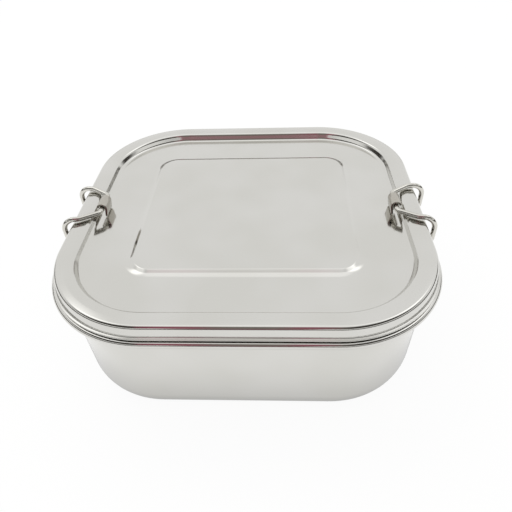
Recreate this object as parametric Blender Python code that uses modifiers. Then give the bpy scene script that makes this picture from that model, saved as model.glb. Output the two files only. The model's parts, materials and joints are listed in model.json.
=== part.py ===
"""Lunch box of pressed stainless steel, held shut by a wire latch on each short side.

The tray has a curled rim, and the lid a raised rim channel, a low centre panel and a skirt with a turned lip. A
silicone ring lies in the lid's channel. Each latch is a bracket on the tray wall, a bent wire bail that turns in it,
and a rolled hook plate on the bail's crossbar that drops behind the inner wall of the lid's rim.

Run it with blender --background --python part.py. Units are metres, +Z is up, and the origin is under the middle of
the box, on the surface it stands on. The latches are on the -X and +X sides.
"""

import math

import bmesh
import bpy
from mathutils import Vector

# Driving dimensions. The rim's centreline is the outline that the tray and the lid are both measured inwards from.
RIM_HALF_X = 0.0800
RIM_HALF_Y = 0.0760
RIM_CORNER = 0.0440
RIM_HEIGHT = 0.0544
SHEET = 0.0006
GAP = 0.0003

# Tray: curled rim, flange, drafted wall and rounded floor edge.
BEAD_RADIUS = 0.00155
BEAD_TURN = math.radians(285)
FLANGE = 0.0039
FLANGE_BEND = 0.0010
WALL_DRAFT = 0.0012
FLOOR_FILLET = 0.0134
FLOOR_START = 0.0220

# Lid: heights are above the rim's centreline, insets are from it.
LIP_LIFT = 0.0030
LIP_INSET = 0.0006
SKIRT_INSET = 0.0012
SKIRT_LEAN = 0.0005
LIP_BEND = 0.0005
RIM_TOP = 0.0078
RIM_CROWN = 0.0002
RIM_OUTER_BEND = 0.0017
RIM_INNER_BEND = 0.0020
RIM_FOOT_INSET = 0.0106
RIM_WALL_LEAN = 0.0016
RIM_FOOT_BEND = 0.0016
FIELD = 0.0044
PANEL_RISE = 0.0014
PANEL_INSET = 0.0334
PANEL_SLOPE = 0.0026
PANEL_EDGE_BEND = 0.0010
PANEL_FOOT_BEND = 0.0060
PANEL_CORNER = 0.0080

# Seal in the lid's channel.
SEAL_BEND = 0.0010
SEAL_LIP = 0.0008

# Latches: distances across the box are from the rim's outer face, and heights above its centreline.
LATCH_Y = -0.0020
WIRE_RADIUS = 0.00115
BAIL_HALF_WIDTH = 0.0129
BAIL_LEG_CLEARANCE = 0.0003
BAIL_SHOULDER = 0.0056
BAIL_FOOT_BEND = 0.0024
BAIL_NECK_HALF_WIDTH = 0.0070
BAIL_NECK_BEND = 0.0024
BAIL_TAPER = 0.0010
BAIL_FOOT_RISE = 1.15
BAIL_REST_CLEARANCE = 0.0004
PIVOT_DROP = 0.0070
WIRE_END_GAP = 0.0006
CROSSBAR_INSET = 0.0128
CROSSBAR_LIFT = 0.0092

HOOK_SHEET = 0.0010
HOOK_LENGTH = 0.0078
HOOK_FOOT_INSET = 0.0140
HOOK_FOOT_CLEARANCE = 0.0006
HOOK_OPENING = math.radians(12)

BRACKET_SHEET = 0.0008
BRACKET_LENGTH = 0.0170
BRACKET_DROP = 0.0100
BRACKET_ROLL = math.radians(300)

# Fineness of the curves, in steps.
CORNER_STEPS = 8
BEND_STEPS = 3
FLOOR_STEPS = 5
CURL_STEPS = 9
ROLL_STEPS = 10
WIRE_BEND_STEPS = 5
WIRE_ROUNDNESS = 2

STEEL = ((0.60, 0.60, 0.59, 1.0), 0.10, 1.0)
SILICONE = ((0.78, 0.79, 0.78, 1.0), 0.55, 0.0)


def clear_scene():
    for thing in list(bpy.data.objects):
        bpy.data.objects.remove(thing, do_unlink=True)


def make_material(name, finish):
    color, roughness, metallic = finish
    material = bpy.data.materials.new(name)
    material.use_nodes = True
    shader = material.node_tree.nodes["Principled BSDF"]
    shader.inputs["Base Color"].default_value = color
    shader.inputs["Roughness"].default_value = roughness
    shader.inputs["Metallic"].default_value = metallic
    return material


def add_object(name, data, finish, collection):
    thing = bpy.data.objects.new(name, data)
    thing.data.materials.append(make_material(name, finish))
    collection.objects.link(thing)
    return thing


def rounded_path(corners):
    """Points along a path whose corners are rounded. Each corner is (point, bend radius, steps around the bend)."""
    points = [corners[0][0]]
    for before, corner, after in zip(corners, corners[1:], corners[2:]):
        point, radius, steps = corner
        back = (before[0] - point).normalized()
        ahead = (after[0] - point).normalized()
        half_angle = back.angle(ahead) / 2
        centre = point + (back + ahead).normalized() * radius / math.sin(half_angle)
        reach = radius / math.tan(half_angle)
        start = point + back * reach - centre
        end = point + ahead * reach - centre
        turn = start.angle(end)
        for step in range(steps + 1):
            share = step / steps
            first = math.sin((1 - share) * turn) / math.sin(turn)
            last = math.sin(share * turn) / math.sin(turn)
            points.append(centre + start * first + end * last)
    points.append(corners[-1][0])
    return points


def corner_radius(inset):
    """The rim, wall and channel share their corner centres. The centre panel has tighter corners of its own."""
    if inset > PANEL_INSET - PANEL_SLOPE - PANEL_FOOT_BEND:
        return PANEL_CORNER + PANEL_INSET - inset
    return RIM_CORNER - inset


def outline(bm, inset, height):
    """One loop of vertices: the rim's rounded rectangle, moved inwards by the inset."""
    radius = corner_radius(inset)
    loop = []
    for quarter, (side_x, side_y) in enumerate(((1, 1), (-1, 1), (-1, -1), (1, -1))):
        centre_x = side_x * (RIM_HALF_X - inset - radius)
        centre_y = side_y * (RIM_HALF_Y - inset - radius)
        for step in range(CORNER_STEPS + 1):
            angle = (quarter + step / CORNER_STEPS) * math.pi / 2
            place = (centre_x + radius * math.cos(angle), centre_y + radius * math.sin(angle), height)
            loop.append(bm.verts.new(place))
    return loop


def skin_between(bm, inner, outer):
    """Faces between two loops that have their vertices in step."""
    for index in range(len(inner)):
        following = (index + 1) % len(inner)
        bm.faces.new((inner[index], outer[index], outer[following], inner[following]))


def loft(name, profile, finish, collection, ring=False):
    """Sweeps a profile of (inset, height) points around the box, from a flat middle outwards, or as a closed ring."""
    bm = bmesh.new()
    loops = [outline(bm, point.x, point.y) for point in profile]
    for inner, outer in zip(loops, loops[1:]):
        skin_between(bm, inner, outer)
    if ring:
        skin_between(bm, loops[-1], loops[0])
    else:
        bm.faces.new(loops[0])
    mesh = bpy.data.meshes.new(name)
    bm.to_mesh(mesh)
    bm.free()
    mesh.shade_smooth()
    mesh.set_sharp_from_angle(angle=math.radians(35))
    return add_object(name, mesh, finish, collection)


def solidify(thing, thickness, offset):
    modifier = thing.modifiers.new("sheet", "SOLIDIFY")
    modifier.thickness = thickness
    modifier.offset = offset
    modifier.use_even_offset = True


def arc(centre, radius, start, turn, steps):
    """Points of an arc in the profile's plane, from the start angle through the turn."""
    angles = [start + turn * step / steps for step in range(steps + 1)]
    return [centre + radius * Vector((math.cos(angle), math.sin(angle))) for angle in angles]


def make_tray(collection):
    """The food side of the sheet: floor, floor edge, wall, flange and curl. The thickness is added outside."""
    bead_top = RIM_HEIGHT + BEAD_RADIUS
    corners = [
        (Vector((FLOOR_START, SHEET)), 0, 0),
        (Vector((FLANGE + WALL_DRAFT, SHEET)), FLOOR_FILLET, FLOOR_STEPS),
        (Vector((FLANGE, bead_top)), FLANGE_BEND, BEND_STEPS),
        (Vector((0.0, bead_top)), 0, 0),
    ]
    # The inset grows inwards, so a curl that turns outwards and down starts at the top and turns past 180 degrees.
    curl = arc(Vector((0.0, RIM_HEIGHT)), BEAD_RADIUS, math.pi / 2, BEAD_TURN, CURL_STEPS)
    tray = loft("tray", rounded_path(corners) + curl[1:], STEEL, collection)
    solidify(tray, SHEET, -1.0)
    return tray


def lid_corners():
    """The upper side of the lid as (point, bend, steps), from the centre panel out to the lip."""
    field = RIM_HEIGHT + FIELD
    crown_inset = (SKIRT_INSET + RIM_FOOT_INSET - RIM_WALL_LEAN) / 2
    rim_top = RIM_HEIGHT + RIM_TOP
    lip_top = RIM_HEIGHT + LIP_LIFT
    panel_foot_inset = PANEL_INSET - PANEL_SLOPE
    return [
        (Vector((PANEL_INSET + PANEL_EDGE_BEND, field + PANEL_RISE)), 0, 0),
        (Vector((PANEL_INSET, field + PANEL_RISE)), PANEL_EDGE_BEND, BEND_STEPS - 1),
        (Vector((panel_foot_inset, field)), PANEL_FOOT_BEND, BEND_STEPS),
        (Vector((RIM_FOOT_INSET, field)), RIM_FOOT_BEND, BEND_STEPS),
        (Vector((RIM_FOOT_INSET - RIM_WALL_LEAN, rim_top)), RIM_INNER_BEND, BEND_STEPS),
        (Vector((crown_inset, rim_top + RIM_CROWN)), RIM_TOP, 1),
        (Vector((SKIRT_INSET, rim_top)), RIM_OUTER_BEND, BEND_STEPS + 1),
        (Vector((SKIRT_INSET - SKIRT_LEAN, lip_top)), LIP_BEND, BEND_STEPS - 1),
        (Vector((SKIRT_INSET - SKIRT_LEAN - LIP_INSET - LIP_BEND, lip_top)), 0, 0),
    ]


def make_lid(collection):
    lid = loft("lid", rounded_path(lid_corners()), STEEL, collection)
    solidify(lid, SHEET, -1.0)
    return lid


def make_seal(collection):
    """Fills the lid's channel down to the tray's flange, with the running gap all round."""
    wall = SHEET + GAP
    outer = SKIRT_INSET + wall
    inner = RIM_FOOT_INSET - RIM_WALL_LEAN - wall
    top = RIM_HEIGHT + RIM_TOP - RIM_CROWN - wall
    bottom = RIM_HEIGHT + BEAD_RADIUS + GAP
    step_height = RIM_HEIGHT + FIELD
    corners = [
        (Vector(((outer + inner) / 2, top)), 0, 0),
        (Vector((outer, top)), SEAL_BEND, 2),
        (Vector((outer, bottom)), SEAL_BEND / 2, 1),
        (Vector((inner - SEAL_LIP, bottom)), SEAL_BEND / 2, 1),
        (Vector((inner - SEAL_LIP, step_height)), SEAL_BEND / 2, 1),
        (Vector((inner, step_height + SEAL_LIP)), SEAL_BEND / 2, 1),
        (Vector((inner, top)), SEAL_BEND, 2),
        (Vector(((outer + inner) / 2, top)), 0, 0),
    ]
    return loft("lid_seal", rounded_path(corners)[:-1], SILICONE, collection, ring=True)


def rim_face():
    """Distance from the middle of the box to the outer face of the curled rim."""
    return RIM_HALF_X + BEAD_RADIUS


def wall_face(height):
    """Distance from the middle of the box to the outer face of the side wall at a height."""
    drop = (RIM_HEIGHT + BEAD_RADIUS - height) / (RIM_HEIGHT + BEAD_RADIUS - SHEET)
    return RIM_HALF_X - FLANGE - WALL_DRAFT * drop + SHEET


def barrel_radius():
    """Radius of the middle of the bracket's rolled sheet, around the bail's foot."""
    return WIRE_RADIUS + GAP + BRACKET_SHEET / 2


def pivot_place():
    """Where the bail turns: (distance from the middle, height)."""
    height = RIM_HEIGHT - PIVOT_DROP
    return Vector((wall_face(height) + GAP + BRACKET_SHEET / 2 + barrel_radius(), height))


def crossbar_place():
    """Where the hook turns on the bail: (distance from the middle, height)."""
    return Vector((RIM_HALF_X - CROSSBAR_INSET, RIM_HEIGHT + CROSSBAR_LIFT))


def bail_corners():
    """One half of the bail's route, from the wire's end in the bracket to the middle of the crossbar."""
    pivot = pivot_place()
    crossbar = crossbar_place()
    leg = rim_face() + BAIL_LEG_CLEARANCE + WIRE_RADIUS
    over_rim = RIM_HEIGHT + RIM_TOP + RIM_CROWN + BAIL_REST_CLEARANCE + WIRE_RADIUS
    wide = BAIL_HALF_WIDTH
    neck = BAIL_NECK_HALF_WIDTH
    steps = WIRE_BEND_STEPS
    return [
        (Vector((pivot.x, WIRE_END_GAP / 2, pivot.y)), 0, 0),
        (Vector((pivot.x, wide, pivot.y)), BAIL_FOOT_BEND, steps - 1),
        (Vector((leg, wide, pivot.y + BAIL_FOOT_RISE * (leg - pivot.x))), BAIL_FOOT_BEND, steps - 2),
        (Vector((leg, wide, over_rim)), BAIL_SHOULDER, steps),
        (Vector(((leg + crossbar.x) / 2, wide - BAIL_TAPER, over_rim)), BAIL_SHOULDER, steps - 2),
        (Vector((crossbar.x, neck, crossbar.y)), BAIL_NECK_BEND, steps - 1),
    ]


def make_bail(name, side, collection):
    half = bail_corners()
    mirrored = [(Vector((point.x, -point.y, point.z)), radius, steps) for point, radius, steps in reversed(half)]
    route = rounded_path(half + mirrored)
    curve = bpy.data.curves.new(name, "CURVE")
    curve.dimensions = "3D"
    curve.bevel_depth = WIRE_RADIUS
    curve.bevel_resolution = WIRE_ROUNDNESS
    curve.use_fill_caps = True
    spline = curve.splines.new("POLY")
    spline.points.add(len(route) - 1)
    pivot = pivot_place()
    for point, place in zip(spline.points, route):
        point.co = (side * (place.x - pivot.x), place.y, place.z - pivot.y, 1.0)
    bail = add_object(name, curve, STEEL, collection)
    bail.location = (side * pivot.x, LATCH_Y, pivot.y)
    return bail


def strip(name, profile, length, sheet, side, origin, collection):
    """Bends a strip along a profile of (distance, height) points around its origin, across the latch's width."""
    bm = bmesh.new()
    rows = []
    for point in profile:
        away, up = point - origin
        rows.append([bm.verts.new((side * away, end * length / 2, up)) for end in (-1, 1)])
    for row, following in zip(rows, rows[1:]):
        bm.faces.new((row[0], row[1], following[1], following[0]))
    bmesh.ops.recalc_face_normals(bm, faces=bm.faces)
    mesh = bpy.data.meshes.new(name)
    bm.to_mesh(mesh)
    bm.free()
    mesh.shade_smooth()
    mesh.set_sharp_from_angle(angle=math.radians(50))
    piece = add_object(name, mesh, STEEL, collection)
    piece.location = (side * origin.x, LATCH_Y, origin.y)
    solidify(piece, sheet, 0.0)
    return piece


def make_hook(name, side, collection):
    """A curl over the crossbar, open on the outer side, whose inner leg drops to the lid's field."""
    crossbar = crossbar_place()
    radius = WIRE_RADIUS + GAP + HOOK_SHEET / 2
    curl = arc(crossbar, radius, HOOK_OPENING, math.pi - HOOK_OPENING, ROLL_STEPS)
    foot = Vector((RIM_HALF_X - HOOK_FOOT_INSET, RIM_HEIGHT + FIELD + HOOK_FOOT_CLEARANCE))
    return strip(name, curl + [foot], HOOK_LENGTH, HOOK_SHEET, side, crossbar, collection)


def make_bracket(name, side, collection):
    """A strap along the tray wall whose upper end is rolled around the bail's foot."""
    pivot = pivot_place()
    foot_height = pivot.y - BRACKET_DROP
    foot = Vector((wall_face(foot_height) + GAP + BRACKET_SHEET / 2, foot_height))
    barrel = arc(pivot, barrel_radius(), math.pi, -BRACKET_ROLL, ROLL_STEPS)
    return strip(name, [foot] + barrel, BRACKET_LENGTH, BRACKET_SHEET, side, pivot, collection)


def main():
    clear_scene()
    collection = bpy.data.collections.new("lunch_box")
    bpy.context.scene.collection.children.link(collection)
    make_tray(collection)
    make_lid(collection)
    make_seal(collection)
    for word, side in (("right", 1), ("left", -1)):
        make_bracket(f"{word}_bracket", side, collection)
        make_bail(f"{word}_bail", side, collection)
        make_hook(f"{word}_hook", side, collection)


main()
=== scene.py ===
"""Looks of the steel lunch box: mirror-polished pressings, drawn wire latches, studio and camera."""
import json
import math

import bmesh
import bpy
from mathutils import Matrix, Vector


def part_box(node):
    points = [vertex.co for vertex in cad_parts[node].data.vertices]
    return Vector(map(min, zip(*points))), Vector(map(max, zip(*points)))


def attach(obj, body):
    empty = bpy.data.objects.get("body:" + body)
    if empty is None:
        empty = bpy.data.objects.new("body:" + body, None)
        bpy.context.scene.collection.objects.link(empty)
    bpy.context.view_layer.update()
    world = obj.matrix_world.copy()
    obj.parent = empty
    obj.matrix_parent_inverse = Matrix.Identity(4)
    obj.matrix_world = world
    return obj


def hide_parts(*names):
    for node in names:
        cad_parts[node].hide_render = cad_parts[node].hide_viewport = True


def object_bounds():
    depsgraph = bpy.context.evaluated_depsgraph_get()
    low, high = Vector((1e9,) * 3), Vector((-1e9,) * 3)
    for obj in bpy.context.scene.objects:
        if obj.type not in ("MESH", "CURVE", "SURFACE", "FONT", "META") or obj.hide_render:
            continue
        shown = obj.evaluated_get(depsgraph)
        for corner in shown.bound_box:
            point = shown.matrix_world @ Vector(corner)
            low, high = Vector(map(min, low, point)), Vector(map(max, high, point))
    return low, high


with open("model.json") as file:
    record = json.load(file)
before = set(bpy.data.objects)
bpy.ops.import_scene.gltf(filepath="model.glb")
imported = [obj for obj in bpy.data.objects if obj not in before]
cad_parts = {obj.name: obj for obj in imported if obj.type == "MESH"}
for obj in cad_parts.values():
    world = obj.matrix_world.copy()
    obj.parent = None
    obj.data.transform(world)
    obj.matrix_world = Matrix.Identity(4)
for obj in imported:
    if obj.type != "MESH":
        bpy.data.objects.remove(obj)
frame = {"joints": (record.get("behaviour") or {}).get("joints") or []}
CAD_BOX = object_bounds()

# Sizes in metres, read from the frame where a solid shows them.
TRAY_LOW, TRAY_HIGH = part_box("tray")
LID_LOW, LID_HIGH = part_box("lid")
SEAL_LOW, SEAL_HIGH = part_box("lid_seal")
SHEET = 0.0006
GAP = 0.0003
BEAD_RADIUS = 0.00155
RIM_HALF_X = 0.0800
RIM_HALF_Y = 0.0760
RIM_CORNER = 0.0440
RIM_HEIGHT = TRAY_HIGH[2] - BEAD_RADIUS
FLANGE = 0.0039
FLANGE_BEND = 0.0010
WALL_DRAFT = 0.0012
FLOOR_FILLET = 0.0134
FLOOR_INSET = 0.0220
LIP_HEIGHT = RIM_HEIGHT + 0.0030
SKIRT_INSET = 0.0012
SKIRT_LEAN = 0.0005
LIP_REACH = 0.0004
LIP_BEND = 0.0005
LIP_EDGE = 0.00022
RIM_TOP = RIM_HEIGHT + 0.0078
RIM_CROWN = 0.0002
RIM_CROWN_BEND = 0.0078
RIM_OUTER_BEND = 0.0017
RIM_INNER_BEND = 0.0020
RIM_FOOT_BEND = 0.0016
RIM_FOOT_INSET = 0.0106
RIM_WALL_LEAN = 0.0016
FIELD = RIM_HEIGHT + 0.0044
PANEL_RISE = 0.0014
PANEL_INSET = 0.0334
PANEL_SLOPE = 0.0026
PANEL_CORNER = 0.0080
PANEL_EDGE_BEND = 0.0010
PANEL_FOOT_BEND = 0.0060
PANEL_MARGIN = 0.0030
PANEL_SUPPORT = 0.0022
SUPPORT = 0.0004

LATCH_Y = (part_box("right_hook")[0][1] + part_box("right_hook")[1][1]) / 2
WIRE_RADIUS = 0.00115
BAIL_HALF_WIDTH = 0.0129
BAIL_NECK_HALF_WIDTH = 0.0070
BAIL_BEND = 0.0024
BAIL_SHOULDER = 0.0056
BAIL_TAPER = 0.0010
BAIL_FOOT_RISE = 1.15
BAIL_LEG_CLEARANCE = 0.0003
BAIL_REST_CLEARANCE = 0.0004
WIRE_END_GAP = 0.0006
HOOK_SHEET = 0.0010
HOOK_LENGTH = 0.0078
HOOK_FOOT_INSET = 0.0140
HOOK_FOOT_CLEARANCE = 0.0006
HOOK_OPENING = math.radians(12)
BRACKET_SHEET = 0.0008
BRACKET_LENGTH = 0.0170
BRACKET_DROP = 0.0100
BRACKET_ROLL = math.radians(300)
JOINTS = {joint["name"]: joint for joint in frame["joints"]}
PIVOT = Vector(JOINTS["right_bail_swing"]["pos_m"])
CROSSBAR = Vector(JOINTS["right_hook_swing"]["pos_m"])

CORNER_STEPS = 28
WIRE_SIDES = 20


# ---------------------------------------------------------------- shapes

def finish_piece(bm, name, material, body, nodes, sharp=40):
    """Makes the mesh a piece that rides on a body and stands for its CAD nodes."""
    mesh = bpy.data.meshes.new(name)
    bm.to_mesh(mesh)
    bm.free()
    mesh.shade_smooth()
    mesh.set_sharp_from_angle(angle=math.radians(sharp))
    mesh.materials.append(material)
    piece = bpy.data.objects.new(name, mesh)
    bpy.context.scene.collection.objects.link(piece)
    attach(piece, body)
    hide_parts(*nodes)
    return piece


def thicken(piece, thickness, offset):
    modifier = piece.modifiers.new("sheet", "SOLIDIFY")
    modifier.thickness = thickness
    modifier.offset = offset
    modifier.use_even_offset = True


def soften(piece, width, segments):
    modifier = piece.modifiers.new("soft edges", "BEVEL")
    modifier.width = width
    modifier.segments = segments
    modifier.limit_method = "ANGLE"
    modifier.angle_limit = math.radians(50)


def chain(bm, corners, plane):
    """A run of edges through the corners, each rounded to its radius. plane(away, up) places a point."""
    verts = [bm.verts.new(plane(away, up)) for away, up, *_ in corners]
    for first, second in zip(verts, verts[1:]):
        bm.edges.new((first, second))
    for vert, (_, _, radius, steps) in zip(verts, corners):
        if radius:
            ends = [(edge.other_vert(vert).co - vert.co).normalized() for edge in vert.link_edges]
            reach = radius / math.tan(ends[0].angle(ends[1]) / 2)
            bmesh.ops.bevel(bm, geom=[vert], offset=reach, offset_type="OFFSET", segments=steps,
                            profile=0.5, affect="VERTICES", material=-1)
    return list(bm.edges)


def only(geometry, kind):
    return [item for item in geometry if isinstance(item, kind)]


def push(bm, edges, move):
    """Extrudes the edges straight and returns the new ones."""
    grown = bmesh.ops.extrude_edge_only(bm, edges=edges)["geom"]
    bmesh.ops.translate(bm, verts=only(grown, bmesh.types.BMVert), vec=move)
    return only(grown, bmesh.types.BMEdge)


def turn(bm, edges, centre, axis, angle, steps):
    """Spins the edges about an axis and returns the last ones."""
    spun = bmesh.ops.spin(bm, geom=edges, cent=centre, axis=axis, angle=angle, steps=steps,
                          use_duplicate=False)
    return only(spun["geom_last"], bmesh.types.BMEdge)


def sweep_round(bm, corners, corner_radius, inset=0.0):
    """Runs a profile of (inset, height, bend, steps) round the box: straight along a side, spun at a corner and
    mirrored."""
    centre_x = RIM_HALF_X - inset - corner_radius
    centre_y = RIM_HALF_Y - inset - corner_radius
    edges = chain(bm, corners, lambda away, up: (RIM_HALF_X - away, 0.0, up))
    edges = push(bm, edges, (0.0, centre_y, 0.0))
    edges = turn(bm, edges, (centre_x, centre_y, 0.0), (0.0, 0.0, 1.0), math.pi / 2, CORNER_STEPS)
    push(bm, edges, (-centre_x, 0.0, 0.0))
    for axis in ("X", "Y"):
        bmesh.ops.mirror(bm, geom=list(bm.verts) + list(bm.edges) + list(bm.faces), axis=axis, merge_dist=1e-6)
    bmesh.ops.remove_doubles(bm, verts=bm.verts, dist=1e-6)


def loop_at(bm, inset, height):
    """The open edges of the loop at an inset and height."""
    found = []
    for edge in bm.edges:
        level = all(abs(vert.co.z - height) < 1e-6 for vert in edge.verts)
        reach = max(abs(vert.co.x) for vert in edge.verts) < RIM_HALF_X - inset + 1e-5
        if edge.is_boundary and level and reach:
            found.append(edge)
    return found


def point_up(bm):
    """Turns all faces of an open shell so that its widest flat face looks up."""
    bmesh.ops.recalc_face_normals(bm, faces=bm.faces)
    widest = max(bm.faces, key=lambda face: face.calc_area())
    if widest.normal.z < 0:
        bmesh.ops.reverse_faces(bm, faces=bm.faces)


def curled(inset, height, radius, start, sweep, steps):
    """Corner points of a curl, close enough together to need no bends of their own."""
    points = []
    for step in range(1, steps + 1):
        angle = math.radians(start + sweep * step / steps)
        points.append((inset + radius * math.cos(angle), height + radius * math.sin(angle), 0, 0))
    return points


def build_tray(steel):
    """Deep-drawn box: flat floor, rounded floor edge, wall, flange and a curl that turns out and under."""
    bead_top = RIM_HEIGHT + BEAD_RADIUS
    floor = TRAY_LOW[2] + SHEET
    bm = bmesh.new()
    profile = [
        (FLOOR_INSET, floor, 0, 0),
        (FLANGE + WALL_DRAFT, floor, FLOOR_FILLET, 14),
        (FLANGE, bead_top, FLANGE_BEND, 7),
        (0.0, bead_top, 0, 0),
    ] + curled(0.0, RIM_HEIGHT, BEAD_RADIUS, 90, 285, 26)
    sweep_round(bm, profile, RIM_CORNER)
    bmesh.ops.holes_fill(bm, edges=loop_at(bm, FLOOR_INSET, floor))
    point_up(bm)
    tray = finish_piece(bm, "tray_shell", steel, "base", ["tray"])
    thicken(tray, SHEET, -1.0)
    return tray


def build_lid(steel):
    """Pressed lid: centre panel, flat field, raised rim channel, skirt and a small rolled lip."""
    field_inset = RIM_FOOT_INSET + RIM_FOOT_BEND
    crown_inset = (SKIRT_INSET + RIM_FOOT_INSET - RIM_WALL_LEAN) / 2
    panel_foot = PANEL_INSET - PANEL_SLOPE
    panel_top = FIELD + PANEL_RISE
    bm = bmesh.new()
    sweep_round(bm, [
        (PANEL_INSET + PANEL_MARGIN, panel_top, 0, 0),
        (PANEL_INSET + PANEL_SUPPORT, panel_top, 0, 0),
        (PANEL_INSET, panel_top, PANEL_EDGE_BEND, 6),
        (panel_foot, FIELD, PANEL_FOOT_BEND, 12),
        (panel_foot - PANEL_SUPPORT, FIELD, 0, 0),
        (panel_foot - PANEL_MARGIN, FIELD, 0, 0),
    ], PANEL_CORNER, PANEL_INSET)
    panel = bpy.data.meshes.new("panel")
    bm.to_mesh(panel)
    bm.clear()
    sweep_round(bm, [
        (field_inset + SUPPORT, FIELD, 0, 0),
        (field_inset, FIELD, 0, 0),
        (RIM_FOOT_INSET, FIELD, RIM_FOOT_BEND, 10),
        (RIM_FOOT_INSET - RIM_WALL_LEAN, RIM_TOP, RIM_INNER_BEND, 12),
        (crown_inset, RIM_TOP + RIM_CROWN, RIM_CROWN_BEND, 3),
        (SKIRT_INSET, RIM_TOP, RIM_OUTER_BEND, 12),
        (SKIRT_INSET - SKIRT_LEAN, LIP_HEIGHT, LIP_BEND, 5),
        (-LIP_REACH, LIP_HEIGHT, 0, 0),
    ], RIM_CORNER)
    bm.from_mesh(panel)
    bpy.data.meshes.remove(panel)
    outer = loop_at(bm, field_inset + SUPPORT, FIELD)
    bmesh.ops.bridge_loops(bm, edges=outer)
    bmesh.ops.holes_fill(bm, edges=loop_at(bm, PANEL_INSET + PANEL_MARGIN, panel_top))
    point_up(bm)
    lid = finish_piece(bm, "lid_shell", steel, "lid", ["lid"])
    thicken(lid, SHEET, -1.0)
    soften(lid, LIP_EDGE, 3)
    return lid


def build_seal(silicone):
    """Moulded silicone ring that fills the lid's channel."""
    outer = SKIRT_INSET + SHEET + GAP
    inner = RIM_FOOT_INSET - RIM_WALL_LEAN - SHEET - GAP
    middle = (outer + inner) / 2
    bm = bmesh.new()
    sweep_round(bm, [
        (middle, SEAL_HIGH[2], 0, 0),
        (outer, SEAL_HIGH[2], 0.0010, 5),
        (outer, SEAL_LOW[2], 0.0005, 4),
        (middle, SEAL_LOW[2] + 0.0003, 0.0020, 3),
        (inner - 0.0008, SEAL_LOW[2], 0.0005, 4),
        (inner - 0.0008, FIELD, 0.0005, 3),
        (inner, FIELD + 0.0008, 0.0005, 3),
        (inner, SEAL_HIGH[2], 0.0010, 5),
        (middle, SEAL_HIGH[2], 0, 0),
    ], RIM_CORNER)
    bmesh.ops.recalc_face_normals(bm, faces=bm.faces)
    return finish_piece(bm, "seal_ring", silicone, "lid", ["lid_seal"])


def bend_wire(bm, route):
    """Draws a round wire along a route of (place, bend radius, steps), bending it about each corner."""
    start = route[0][0]
    heading = (route[1][0] - start).normalized()
    circle = bmesh.ops.create_circle(bm, segments=WIRE_SIDES, radius=WIRE_RADIUS, cap_ends=False)
    aim = heading.to_track_quat("Z", "Y").to_matrix().to_4x4()
    bmesh.ops.transform(bm, matrix=Matrix.Translation(start) @ aim, verts=circle["verts"])
    edges = list(bm.edges)
    ends = [edges]
    here = start
    for index in range(1, len(route) - 1):
        corner, radius, steps = route[index]
        ahead = (route[index + 1][0] - corner).normalized()
        angle = heading.angle(ahead)
        reach = radius * math.tan(angle / 2)
        stop = corner - heading * reach
        edges = push(bm, edges, stop - here)
        axis = heading.cross(ahead).normalized()
        centre = stop + axis.cross(heading).normalized() * radius
        edges = turn(bm, edges, centre, axis, angle, steps)
        here = corner + ahead * reach
        heading = ahead
    edges = push(bm, edges, route[-1][0] - here)
    ends.append(edges)
    for ring in ends:
        bmesh.ops.holes_fill(bm, edges=ring)
    bmesh.ops.recalc_face_normals(bm, faces=bm.faces)


def build_bail(word, side, wire):
    """Bent wire: foot in the bracket, two legs up past the rim, shoulders over it and a crossbar for the hook."""
    leg = TRAY_HIGH[0] + BAIL_LEG_CLEARANCE + WIRE_RADIUS
    over_rim = RIM_TOP + RIM_CROWN + BAIL_REST_CLEARANCE + WIRE_RADIUS
    half = [
        ((PIVOT.x, WIRE_END_GAP / 2, PIVOT.z), 0, 0),
        ((PIVOT.x, BAIL_HALF_WIDTH, PIVOT.z), BAIL_BEND, 10),
        ((leg, BAIL_HALF_WIDTH, PIVOT.z + BAIL_FOOT_RISE * (leg - PIVOT.x)), BAIL_BEND, 8),
        ((leg, BAIL_HALF_WIDTH, over_rim), BAIL_SHOULDER, 18),
        (((leg + CROSSBAR.x) / 2, BAIL_HALF_WIDTH - BAIL_TAPER, over_rim), BAIL_SHOULDER, 8),
        ((CROSSBAR.x, BAIL_NECK_HALF_WIDTH, CROSSBAR.z), BAIL_BEND, 12),
    ]
    other = [((x, -y, z), radius, steps) for (x, y, z), radius, steps in reversed(half)]
    route = [(Vector((x, y + LATCH_Y, z)), radius, steps) for (x, y, z), radius, steps in half + other]
    bm = bmesh.new()
    bend_wire(bm, route)
    flip_side(bm, side)
    return finish_piece(bm, f"{word}_wire_bail", wire, f"{word}_bail", [f"{word}_bail"])


def flip_side(bm, side):
    """Moves a right-hand piece to the left side as its mirror image."""
    if side < 0:
        bmesh.ops.scale(bm, vec=(-1.0, 1.0, 1.0), verts=bm.verts)
        bmesh.ops.reverse_faces(bm, faces=bm.faces)


def strip_edge(bm, place, length):
    """The edge across a strip's width that the strip is drawn from."""
    ends = [bm.verts.new((place.x, LATCH_Y + way * length / 2, place.z)) for way in (-1, 1)]
    return [bm.edges.new(ends)]


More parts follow.
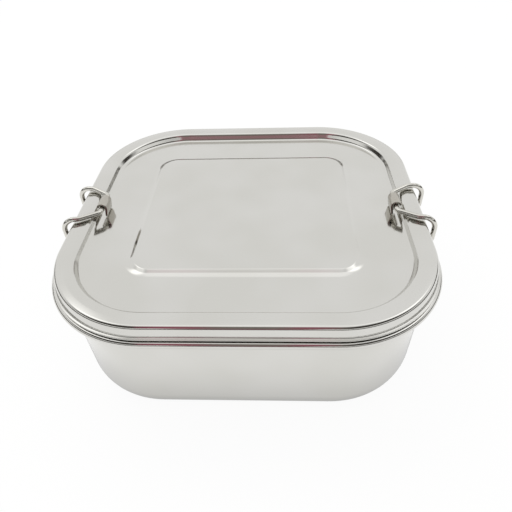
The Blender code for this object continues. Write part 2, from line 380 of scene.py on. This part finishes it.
def build_hook(word, side, steel):
    """Rolled strip: a curl over the crossbar and a leg that drops behind the rim."""
    radius = WIRE_RADIUS + GAP + HOOK_SHEET / 2
    tip = CROSSBAR + radius * Vector((math.cos(HOOK_OPENING), 0.0, math.sin(HOOK_OPENING)))
    foot = Vector((RIM_HALF_X - HOOK_FOOT_INSET, CROSSBAR.y, FIELD + HOOK_FOOT_CLEARANCE))
    top_of_leg = CROSSBAR - Vector((radius, 0.0, 0.0))
    bm = bmesh.new()
    edges = strip_edge(bm, tip, HOOK_LENGTH)
    edges = turn(bm, edges, CROSSBAR, (0.0, -1.0, 0.0), math.pi - HOOK_OPENING, 22)
    push(bm, edges, foot - top_of_leg)
    bmesh.ops.recalc_face_normals(bm, faces=bm.faces)
    flip_side(bm, side)
    hook = finish_piece(bm, f"{word}_hook_plate", steel, f"{word}_hook", [f"{word}_hook"])
    thicken(hook, HOOK_SHEET, 0.0)
    soften(hook, 0.00018, 3)
    return hook


def build_bracket(word, side, steel):
    """Strap against the tray wall, rolled around the bail's foot."""
    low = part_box("right_bracket")[0]
    radius = WIRE_RADIUS + GAP + BRACKET_SHEET / 2
    lean = WALL_DRAFT * BRACKET_DROP / (TRAY_HIGH[2] - SHEET)
    top = PIVOT - Vector((radius, 0.0, 0.0))
    foot = Vector((top.x - lean, PIVOT.y, low[2]))
    bm = bmesh.new()
    edges = strip_edge(bm, foot, BRACKET_LENGTH)
    edges = push(bm, edges, top - foot)
    turn(bm, edges, PIVOT, (0.0, 1.0, 0.0), BRACKET_ROLL, 34)
    bmesh.ops.recalc_face_normals(bm, faces=bm.faces)
    flip_side(bm, side)
    bracket = finish_piece(bm, f"{word}_bracket_strap", steel, "base", [f"{word}_bracket"])
    thicken(bracket, BRACKET_SHEET, 0.0)
    soften(bracket, 0.00015, 2)
    return bracket


# ---------------------------------------------------------------- materials

def color(code):
    """sRGB hex to linear RGBA."""
    parts = [int(code[at:at + 2], 16) / 255 for at in (0, 2, 4)]
    return [part / 12.92 if part <= 0.04045 else ((part + 0.055) / 1.055) ** 2.4 for part in parts] + [1.0]


def add(tree, kind, settings=None, **links):
    """One node with its settings, and its inputs either linked or set."""
    node = tree.nodes.new(kind)
    for key, value in (settings or {}).items():
        setattr(node, key, value)
    for key, value in links.items():
        numbered = key[0] == "i" and key[1:].isdigit()
        spot = node.inputs[int(key[1:]) if numbered else key.replace("_", " ")]
        if isinstance(value, bpy.types.NodeSocket):
            tree.links.new(value, spot)
        else:
            spot.default_value = value
    return node


def start_material(name):
    material = bpy.data.materials.new(name)
    material.use_nodes = True
    tree = material.node_tree
    shader = tree.nodes["Principled BSDF"]
    place = tree.nodes.new("ShaderNodeTexCoord").outputs["Object"]
    return material, tree, shader, place


def polished_steel_sheet():
    """Stainless sheet, deep drawn and mirror polished: a clean reflection, softened by fine buffing and a slight
    waviness of the pressed metal, 25 mm across."""
    material, tree, shader, place = start_material("polished_steel_sheet")
    shader.inputs["Metallic"].default_value = 1.0
    wave = add(tree, "ShaderNodeTexNoise", Vector=place, Scale=40.0, Detail=1.0)
    buff = add(tree, "ShaderNodeTexNoise", Vector=place, Scale=900.0, Detail=3.0)
    haze = add(tree, "ShaderNodeMapRange", Value=buff.outputs["Fac"], To_Min=0.085, To_Max=0.15)
    tint = add(tree, "ShaderNodeValToRGB", Fac=wave.outputs["Fac"])
    tint.color_ramp.elements[0].position = 0.35
    tint.color_ramp.elements[0].color = color("cecdc8")
    tint.color_ramp.elements[1].position = 0.65
    tint.color_ramp.elements[1].color = color("d2d1cd")
    bump = add(tree, "ShaderNodeBump", Height=wave.outputs["Fac"], Strength=0.05, Distance=0.0006)
    tree.links.new(tint.outputs["Color"], shader.inputs["Base Color"])
    tree.links.new(haze.outputs["Result"], shader.inputs["Roughness"])
    tree.links.new(bump.outputs["Normal"], shader.inputs["Normal"])
    return material


def drawn_steel_wire():
    """Bright stainless wire: drawn through a die, so its shine is broken by fine lines and a few dull spots."""
    material, tree, shader, place = start_material("drawn_steel_wire")
    shader.inputs["Metallic"].default_value = 1.0
    shader.inputs["Base Color"].default_value = color("cfcdc6")
    spots = add(tree, "ShaderNodeTexNoise", Vector=place, Scale=700.0, Detail=4.0)
    haze = add(tree, "ShaderNodeMapRange", Value=spots.outputs["Fac"], To_Min=0.08, To_Max=0.20)
    bump = add(tree, "ShaderNodeBump", Height=spots.outputs["Fac"], Strength=0.15, Distance=0.00005)
    tree.links.new(haze.outputs["Result"], shader.inputs["Roughness"])
    tree.links.new(bump.outputs["Normal"], shader.inputs["Normal"])
    return material


def rolled_steel_strip():
    """Stainless strip, cut and rolled, left with its mill finish: a little duller and darker than the sheet."""
    material, tree, shader, place = start_material("rolled_steel_strip")
    shader.inputs["Metallic"].default_value = 1.0
    mapping = add(tree, "ShaderNodeMapping", Vector=place, Scale=(1.0, 0.06, 1.0))
    grain = add(tree, "ShaderNodeTexNoise", Vector=mapping.outputs["Vector"], Scale=3000.0, Detail=3.0)
    haze = add(tree, "ShaderNodeMapRange", Value=grain.outputs["Fac"], To_Min=0.12, To_Max=0.26)
    tint = add(tree, "ShaderNodeValToRGB", Fac=grain.outputs["Fac"])
    tint.color_ramp.elements[0].color = color("a9a59c")
    tint.color_ramp.elements[1].color = color("c2beb6")
    bump = add(tree, "ShaderNodeBump", Height=grain.outputs["Fac"], Strength=0.12, Distance=0.00004)
    tree.links.new(tint.outputs["Color"], shader.inputs["Base Color"])
    tree.links.new(haze.outputs["Result"], shader.inputs["Roughness"])
    tree.links.new(bump.outputs["Normal"], shader.inputs["Normal"])
    return material


def moulded_silicone():
    """White food-grade silicone: soft, faintly translucent and matte from its mould."""
    material, tree, shader, place = start_material("moulded_silicone")
    shader.inputs["IOR"].default_value = 1.41
    shader.inputs["Subsurface Weight"].default_value = 0.15
    shader.inputs["Subsurface Radius"].default_value = (0.002, 0.002, 0.002)
    dust = add(tree, "ShaderNodeTexNoise", Vector=place, Scale=600.0, Detail=2.0)
    tint = add(tree, "ShaderNodeValToRGB", Fac=dust.outputs["Fac"])
    tint.color_ramp.elements[0].color = color("dcdedb")
    tint.color_ramp.elements[1].color = color("e8e9e6")
    haze = add(tree, "ShaderNodeMapRange", Value=dust.outputs["Fac"], To_Min=0.42, To_Max=0.58)
    tree.links.new(tint.outputs["Color"], shader.inputs["Base Color"])
    tree.links.new(haze.outputs["Result"], shader.inputs["Roughness"])
    return material


# ---------------------------------------------------------------- studio

def ease(tree, value, start, stop, low=0.0, high=1.0):
    """Goes smoothly from low to high while the value goes from start to stop."""
    node = add(tree, "ShaderNodeMapRange", {"interpolation_type": "SMOOTHSTEP"}, Value=value,
               From_Min=start, From_Max=stop, To_Min=low, To_Max=high)
    return node.outputs["Result"]


def maths(tree, operation, first, second=0.0):
    return add(tree, "ShaderNodeMath", {"operation": operation}, i0=first, i1=second).outputs["Value"]


def vectors(tree, operation, first, second=(0.0, 0.0, 0.0)):
    return add(tree, "ShaderNodeVectorMath", {"operation": operation}, i0=first, i1=second).outputs["Vector"]


def blend(tree, share, first, second):
    """Colour between two others, by a share of 0 to 1."""
    return add(tree, "ShaderNodeMix", {"data_type": "RGBA"}, Factor=share, i6=first, i7=second).outputs[2]


def grey(tree, value):
    return add(tree, "ShaderNodeCombineColor", Red=value, Green=value, Blue=value).outputs["Color"]


def across(tree, axes, stops):
    """Colour by how far a direction leans across the box, through stops of (lean, colour)."""
    lean = add(tree, "ShaderNodeMapRange", Value=axes.outputs["X"], From_Min=-0.5, From_Max=0.5)
    ramp = add(tree, "ShaderNodeValToRGB", Fac=lean.outputs["Result"])
    elements = ramp.color_ramp.elements
    elements.remove(elements[1])
    elements[0].position = stops[0][0] + 0.5
    elements[0].color = stops[0][1]
    for place, shade in stops[1:]:
        elements.new(place + 0.5).color = shade
    return ramp.outputs["Color"]


def build_floor():
    """Pale floor that keeps the object's soft shadow and reads white to the camera. In the metal its glow is turned
    down towards the box, a painted shade for the darkening under a box that stands in soft light."""
    bm = bmesh.new()
    bmesh.ops.create_grid(bm, x_segments=1, y_segments=1, size=4.0)
    mesh = bpy.data.meshes.new("floor")
    bm.to_mesh(mesh)
    bm.free()
    floor = bpy.data.objects.new("floor", mesh)
    floor.location = (0.0, 0.0, CAD_BOX[0][2] - 0.00005)
    bpy.context.scene.collection.objects.link(floor)
    material = bpy.data.materials.new("white_floor")
    material.use_nodes = True
    tree = material.node_tree
    tree.nodes.clear()
    path = tree.nodes.new("ShaderNodeLightPath")
    place = tree.nodes.new("ShaderNodeNewGeometry").outputs["Position"]
    # Painted shade: for glossy rays the floor's glow is lowered towards the box's outline, darker the nearer the
    # box.
    straight = (RIM_HALF_X - RIM_CORNER, RIM_HALF_Y - RIM_CORNER, 1.0)
    beyond = vectors(tree, "MAXIMUM", vectors(tree, "SUBTRACT", vectors(tree, "ABSOLUTE", place), straight))
    distance = add(tree, "ShaderNodeVectorMath", {"operation": "LENGTH"}, i0=beyond).outputs["Value"]
    painted_contact_shade = ease(tree, distance, RIM_CORNER - 0.022, RIM_CORNER + 0.018, 0.34, 1.07)
    strength = add(tree, "ShaderNodeMix", {"data_type": "FLOAT"}, i0=path.outputs["Is Glossy Ray"], i2=1.0, i3=painted_contact_shade)
    seen = maths(tree, "MAXIMUM", path.outputs["Is Camera Ray"], path.outputs["Is Glossy Ray"])
    share = maths(tree, "MULTIPLY", seen, 0.93)
    paint = add(tree, "ShaderNodeBsdfDiffuse", Color=(0.9, 0.9, 0.9, 1.0))
    glow = add(tree, "ShaderNodeEmission", Color=(1.0, 1.0, 1.0, 1.0), Strength=strength.outputs[0])
    both = add(tree, "ShaderNodeMixShader", Fac=share, i1=paint.outputs["BSDF"], i2=glow.outputs["Emission"])
    add(tree, "ShaderNodeOutputMaterial", Surface=both.outputs["Shader"])
    mesh.materials.append(material)


def build_world():
    """White studio. Polished metal also sees the dim room in front of the box and at its sides, with a rose cast
    where someone stands, and a bright ceiling."""
    world = bpy.data.worlds.new("studio")
    bpy.context.scene.world = world
    world.use_nodes = True
    tree = world.node_tree
    tree.nodes.clear()
    path = tree.nodes.new("ShaderNodeLightPath")
    direction = tree.nodes.new("ShaderNodeTexCoord").outputs["Generated"]
    axes = add(tree, "ShaderNodeSeparateXYZ", Vector=direction)
    height = axes.outputs["Z"]
    aside = maths(tree, "ABSOLUTE", axes.outputs["X"])
    spread = maths(tree, "MAXIMUM", maths(tree, "SUBTRACT", aside, 0.25))
    forward = maths(tree, "SUBTRACT", axes.outputs["Y"], maths(tree, "MULTIPLY", spread, 0.6))

    white, black, brown = (1.0, 1.0, 0.99, 1.0), (0.05, 0.045, 0.04, 1.0), (0.20, 0.18, 0.16, 1.0)
    rose, pale_rose, grey_brown = (0.32, 0.10, 0.14, 1.0), (0.38, 0.21, 0.23, 1.0), (0.40, 0.38, 0.36, 1.0)
    upper = across(tree, axes, ((-0.34, black), (-0.28, rose), (-0.18, rose), (-0.15, brown), (0.02, brown),
                                (0.05, rose), (0.11, rose), (0.14, brown), (0.28, black)))
    middle = across(tree, axes, ((-0.26, white), (-0.21, pale_rose), (0.07, pale_rose), (0.12, white)))
    dim_color = blend(tree, ease(tree, height, 0.24, 0.30), black, middle)
    dim_color = blend(tree, ease(tree, height, 0.42, 0.50), dim_color, upper)
    low_forward = maths(tree, "SUBTRACT", axes.outputs["Y"], maths(tree, "MULTIPLY", aside, 0.9))
    low_sides = maths(tree, "MULTIPLY", ease(tree, low_forward, -0.03, -0.32), ease(tree, height, 0.30, 0.22))
    dusk = ease(tree, forward, -0.03, -0.20, 0.0, 0.38)
    dark = ease(tree, forward, -0.22, -0.42, 0.0, 0.62)
    dim = maths(tree, "MAXIMUM", maths(tree, "ADD", dusk, dark), low_sides)
    dim = maths(tree, "MULTIPLY", dim, ease(tree, height, -0.02, 0.02))

    windows = maths(tree, "MULTIPLY", ease(tree, aside, 0.36, 0.50),
                    ease(tree, height, 0.64, 0.76, 0.0, 0.8))
    ceiling = maths(tree, "ADD", ease(tree, height, 0.84, 0.93, 1.0, 1.2), windows)
    bright = grey(tree, ceiling)

    side = maths(tree, "MULTIPLY", ease(tree, aside, 0.20, 0.30), ease(tree, aside, 0.56, 0.48))
    skyline = maths(tree, "MULTIPLY", ease(tree, height, -0.02, 0.02), ease(tree, height, 0.20, 0.14))
    room = blend(tree, maths(tree, "MULTIPLY", side, skyline), bright, grey_brown)
    room = blend(tree, dim, room, dim_color)
    shown = blend(tree, path.outputs["Is Glossy Ray"], white, room)
    sky = add(tree, "ShaderNodeBackground", Color=shown, Strength=1.0)
    add(tree, "ShaderNodeOutputWorld", Surface=sky.outputs["Background"])


def build_lamp():
    """Large soft lamp behind and above, for a gentle direction to the light."""
    data = bpy.data.lights.new("softbox", "AREA")
    data.shape = "RECTANGLE"
    data.size = 0.9
    data.size_y = 0.6
    data.energy = 3.0
    lamp = bpy.data.objects.new("softbox", data)
    lamp.location = (-0.35, 0.45, 0.95)
    lamp.rotation_euler = (Vector((0.0, 0.0, 0.03)) - lamp.location).to_track_quat("-Z", "Y").to_euler()
    lamp.visible_glossy = False
    bpy.context.scene.collection.objects.link(lamp)


def build_camera():
    """Close view from the front and above, slightly from the right, with the small tilt of a hand-held shot."""
    elevation, yaw, roll = math.radians(42.15), math.radians(3.72), math.radians(-2.68)
    distance = 0.2082
    target = Vector((0.00443, -0.0257, RIM_HEIGHT - 0.00258))
    level = math.cos(elevation)
    back = Vector((math.sin(yaw) * level, -math.cos(yaw) * level, math.sin(elevation)))
    right = (-back).cross(Vector((0.0, 0.0, 1.0))).normalized()
    up = right.cross(-back)
    axes = Matrix((right, up, back)).transposed().to_4x4()
    data = bpy.data.cameras.new("camera")
    data.sensor_width = 36.0
    data.lens = 33.206
    data.clip_start = 0.01
    camera = bpy.data.objects.new("camera", data)
    camera.matrix_world = Matrix.Translation(target + back * distance) @ axes @ Matrix.Rotation(roll, 4, "Z")
    bpy.context.scene.collection.objects.link(camera)
    bpy.context.scene.camera = camera


def main():
    bpy.context.scene.view_settings.view_transform = "Standard"
    steel = polished_steel_sheet()
    wire = drawn_steel_wire()
    strip = rolled_steel_strip()
    build_camera()
    for piece in (build_tray(steel), build_lid(steel)):
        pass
    build_seal(moulded_silicone())
    for word, side in (("right", 1), ("left", -1)):
        build_bail(word, side, wire)
        build_hook(word, side, strip)
        build_bracket(word, side, strip)
    build_floor()
    build_world()
    build_lamp()


main()
